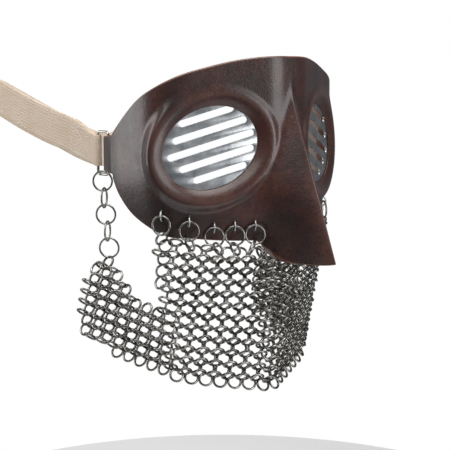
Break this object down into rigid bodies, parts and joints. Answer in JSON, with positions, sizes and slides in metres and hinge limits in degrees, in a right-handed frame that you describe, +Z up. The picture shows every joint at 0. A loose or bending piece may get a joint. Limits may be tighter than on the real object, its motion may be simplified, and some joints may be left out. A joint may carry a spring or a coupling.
{
  "type": "splatter mask",
  "caption": "Moulded leather half mask with rimmed, slotted steel eye plates, an elastic head strap and a chain mail veil hung from rings.",
  "frame": {"origin": "in the mid-plane, against the inside of the leather at the bridge of the nose, where the mask sits on the wearer", "axes": "+Z up when worn, -Y the way the mask faces, +X to the wearer's left"},
  "size_m": [0.1803, 0.3027, 0.2091],
  "materials": {
    "brown_leather": "dark reddish brown, waxed, fine grain",
    "raw_leather": "raw, unfinished",
    "mottled_steel": "bare sheet, mottled blue-grey",
    "steel_wire": "bare wire, dull grey",
    "mail": "butted rings, dull grey",
    "beige_elastic": "woven elastic, herringbone fold, white stitching"
  },
  "bodies": {
    "mask": {"mask_shell": "brown_leather", "eye_plate_right": "mottled_steel", "eye_plate_left": "mottled_steel", "eye_retainer_right": "raw_leather", "eye_retainer_left": "raw_leather", "head_strap": "beige_elastic", "hook_staple_1_right": "steel_wire", "hook_staple_2_right": "steel_wire", "hook_staple_3_right": "steel_wire", "hook_staple_4_right": "steel_wire", "hook_staple_5_right": "steel_wire", "hook_staple_1_left": "steel_wire", "hook_staple_2_left": "steel_wire", "hook_staple_3_left": "steel_wire", "hook_staple_4_left": "steel_wire", "hook_staple_5_left": "steel_wire"},
    "curtain": {"mail_curtain": "mail"},
    "loop_right": {"strap_loop_right": "steel_wire", "strap_end_right": "beige_elastic"},
    "wing_right": {"mail_wing_right": "mail"},
    "link_1_right": {"chain_link_1_right": "steel_wire"},
    "link_2_right": {"chain_link_2_right": "steel_wire"},
    "link_3_right": {"chain_link_3_right": "steel_wire"},
    "link_4_right": {"chain_link_4_right": "steel_wire"},
    "end_ring_right": {"wing_ring_right": "steel_wire"},
    "hook_1_right": {"hook_ring_1_right": "steel_wire"},
    "hook_2_right": {"hook_ring_2_right": "steel_wire"},
    "hook_3_right": {"hook_ring_3_right": "steel_wire"},
    "hook_4_right": {"hook_ring_4_right": "steel_wire"},
    "hook_5_right": {"hook_ring_5_right": "steel_wire"},
    "loop_left": {"strap_loop_left": "steel_wire", "strap_end_left": "beige_elastic"},
    "wing_left": {"mail_wing_left": "mail"},
    "link_1_left": {"chain_link_1_left": "steel_wire"},
    "link_2_left": {"chain_link_2_left": "steel_wire"},
    "link_3_left": {"chain_link_3_left": "steel_wire"},
    "link_4_left": {"chain_link_4_left": "steel_wire"},
    "end_ring_left": {"wing_ring_left": "steel_wire"},
    "hook_1_left": {"hook_ring_1_left": "steel_wire"},
    "hook_2_left": {"hook_ring_2_left": "steel_wire"},
    "hook_3_left": {"hook_ring_3_left": "steel_wire"},
    "hook_4_left": {"hook_ring_4_left": "steel_wire"},
    "hook_5_left": {"hook_ring_5_left": "steel_wire"}
  },
  "joints": [
    {"name": "curtain_sway", "type": "hinge", "parent": "mask", "child": "curtain", "pos_m": [0, 0.02, -0.066], "axis": [1, 0, 0], "range_deg": [-2.5, 1.3]},
    {"name": "loop_right_turn", "type": "hinge", "parent": "mask", "child": "loop_right", "pos_m": [-0.06877, 0.09182, -0.025], "axis": [0, 0, 1], "range_deg": [-15, 25]},
    {"name": "wing_right_fold", "type": "hinge", "parent": "curtain", "child": "wing_right", "pos_m": [-0.0588, 0.04638, -0.14], "axis": [0, 0, 1], "range_deg": [-10, 10]},
    {"name": "link_1_right_swing", "type": "hinge", "parent": "loop_right", "child": "link_1_right", "pos_m": [-0.0691, 0.09821, -0.03658], "axis": [0, 1, 0], "range_deg": [-8, 8]},
    {"name": "link_2_right_swing", "type": "hinge", "parent": "link_1_right", "child": "link_2_right", "pos_m": [-0.06933, 0.09626, -0.04704], "axis": [0, 1, 0], "range_deg": [-5, 5]},
    {"name": "link_3_right_swing", "type": "hinge", "parent": "link_2_right", "child": "link_3_right", "pos_m": [-0.06955, 0.0943, -0.0575], "axis": [0, 1, 0], "range_deg": [-5, 5]},
    {"name": "link_4_right_swing", "type": "hinge", "parent": "link_3_right", "child": "link_4_right", "pos_m": [-0.06978, 0.09235, -0.06796], "axis": [0, 1, 0], "range_deg": [-5, 5]},
    {"name": "end_ring_right_swing", "type": "hinge", "parent": "link_4_right", "child": "end_ring_right", "pos_m": [-0.07, 0.0904, -0.07842], "axis": [0, 1, 0], "range_deg": [-4, 4]},
    {"name": "hook_1_right_swing", "type": "hinge", "parent": "mask", "child": "hook_1_right", "pos_m": [-0.06821, 0.03765, -0.0598], "axis": [1, 0, 0], "range_deg": [-5, 2]},
    {"name": "hook_2_right_swing", "type": "hinge", "parent": "mask", "child": "hook_2_right", "pos_m": [-0.05513, 0.0273, -0.0634], "axis": [1, 0, 0], "range_deg": [-5, 2]},
    {"name": "hook_3_right_swing", "type": "hinge", "parent": "mask", "child": "hook_3_right", "pos_m": [-0.04117, 0.02058, -0.0674], "axis": [1, 0, 0], "range_deg": [-5, 2]},
    {"name": "hook_4_right_swing", "type": "hinge", "parent": "mask", "child": "hook_4_right", "pos_m": [-0.03035, 0.01412, -0.0668], "axis": [1, 0, 0], "range_deg": [-5, 2]},
    {"name": "hook_5_right_swing", "type": "hinge", "parent": "mask", "child": "hook_5_right", "pos_m": [-0.01959, 0.00777, -0.0664], "axis": [1, 0, 0], "range_deg": [-5, 2]},
    {"name": "loop_left_turn", "type": "hinge", "parent": "mask", "child": "loop_left", "pos_m": [0.06877, 0.09182, -0.025], "axis": [0, 0, 1], "range_deg": [-8, 35]},
    {"name": "wing_left_fold", "type": "hinge", "parent": "curtain", "child": "wing_left", "pos_m": [0.0588, 0.04638, -0.14], "axis": [0, 0, 1], "range_deg": [-10, 10]},
    {"name": "link_1_left_swing", "type": "hinge", "parent": "loop_left", "child": "link_1_left", "pos_m": [0.07197, 0.09736, -0.03658], "axis": [0, 1, 0], "range_deg": [-8, 8]},
    {"name": "link_2_left_swing", "type": "hinge", "parent": "link_1_left", "child": "link_2_left", "pos_m": [0.07148, 0.09562, -0.04704], "axis": [0, 1, 0], "range_deg": [-5, 5]},
    {"name": "link_3_left_swing", "type": "hinge", "parent": "link_2_left", "child": "link_3_left", "pos_m": [0.07098, 0.09388, -0.0575], "axis": [0, 1, 0], "range_deg": [-5, 5]},
    {"name": "link_4_left_swing", "type": "hinge", "parent": "link_3_left", "child": "link_4_left", "pos_m": [0.07049, 0.09214, -0.06796], "axis": [0, 1, 0], "range_deg": [-5, 5]},
    {"name": "end_ring_left_swing", "type": "hinge", "parent": "link_4_left", "child": "end_ring_left", "pos_m": [0.07, 0.0904, -0.07842], "axis": [0, 1, 0], "range_deg": [-4, 4]},
    {"name": "hook_1_left_swing", "type": "hinge", "parent": "mask", "child": "hook_1_left", "pos_m": [0.06821, 0.03765, -0.0598], "axis": [1, 0, 0], "range_deg": [-5, 2]},
    {"name": "hook_2_left_swing", "type": "hinge", "parent": "mask", "child": "hook_2_left", "pos_m": [0.05513, 0.0273, -0.0634], "axis": [1, 0, 0], "range_deg": [-5, 2]},
    {"name": "hook_3_left_swing", "type": "hinge", "parent": "mask", "child": "hook_3_left", "pos_m": [0.04117, 0.02058, -0.0674], "axis": [1, 0, 0], "range_deg": [-5, 2]},
    {"name": "hook_4_left_swing", "type": "hinge", "parent": "mask", "child": "hook_4_left", "pos_m": [0.03035, 0.01412, -0.0668], "axis": [1, 0, 0], "range_deg": [-5, 2]},
    {"name": "hook_5_left_swing", "type": "hinge", "parent": "mask", "child": "hook_5_left", "pos_m": [0.01959, 0.00777, -0.0664], "axis": [1, 0, 0], "range_deg": [-5, 2]}
  ]
}
